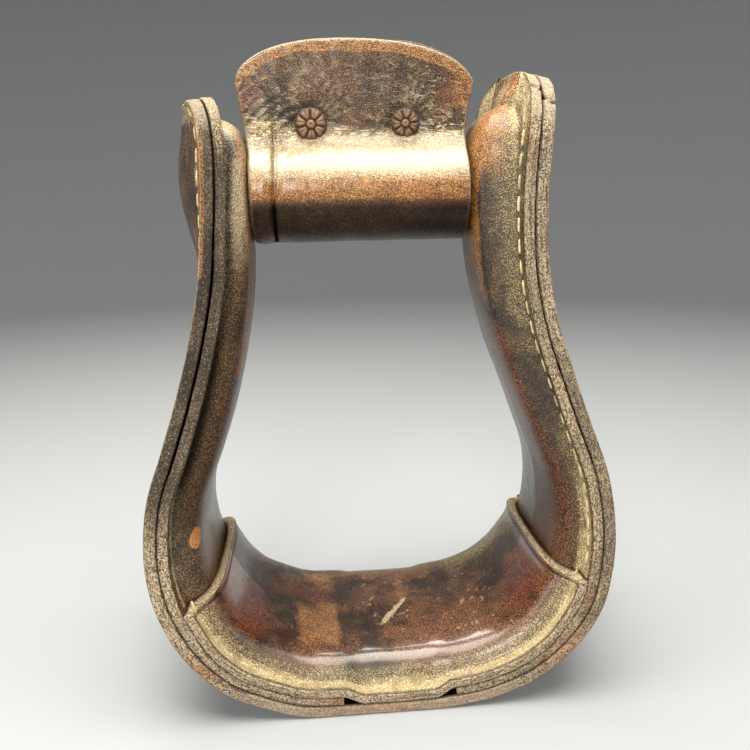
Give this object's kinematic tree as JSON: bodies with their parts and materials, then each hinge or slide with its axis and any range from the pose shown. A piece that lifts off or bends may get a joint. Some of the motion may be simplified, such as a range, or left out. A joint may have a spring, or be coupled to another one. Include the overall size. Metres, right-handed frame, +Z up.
{
  "type": "western saddle stirrup",
  "caption": "Bell-bottom western stirrup: bent wood bow covered in sewn saddle leather, with a bolted roller at the neck and a riveted leather guard that swings on it.",
  "frame": {"origin": "middle of the flat underside of the tread, which the stirrup stands on", "axes": "+Z up to the neck, +X along the bolt towards its nut, -Y the front, where the rivets' flower heads show"},
  "size_m": [0.1672, 0.088, 0.234],
  "materials": {
    "arm_leather": "worn waxed saddle leather, dark brown with reddish edges",
    "tread_leather": "burnished maroon-brown, scuffed to suede in the middle",
    "strip_leather": "grain outside, raw grey-brown cut edges",
    "guard_leather": "amber-brown, polished on the roller, creased above it",
    "thread": "waxed linen, cream",
    "bow_wood": "bent ash, unfinished",
    "roller_wood": "turned hardwood",
    "bolt_steel": "dull plated steel",
    "rivet_metal": "dark antique",
    "burr_metal": "tarnished copper"
  },
  "bodies": {
    "bow": {"bow_core": "bow_wood", "left_arm_cover": "arm_leather", "right_arm_cover": "arm_leather", "tread_cover": "tread_leather", "outer_strip": "strip_leather", "front_seam_thread": "thread", "rear_seam_thread": "thread", "stirrup_bolt": "bolt_steel", "bolt_head_washer": "bolt_steel", "nut_washer": "bolt_steel", "bolt_nut": "bolt_steel", "left_spacer_washer": "bolt_steel", "right_spacer_washer": "bolt_steel"},
    "roller_body": {"roller": "roller_wood"},
    "guard": {"roller_guard": "guard_leather", "rosette_rivets": "rivet_metal", "rivet_burrs": "burr_metal"}
  },
  "joints": [
    {"name": "roller_spin", "type": "hinge", "parent": "bow", "child": "roller_body", "pos_m": [-0.004, 0, 0.184], "axis": [1, 0, 0], "continuous": true},
    {"name": "guard_swing", "type": "hinge", "parent": "bow", "child": "guard", "pos_m": [-0.004, 0, 0.184], "axis": [1, 0, 0], "range_deg": [-110, 110]}
  ]
}
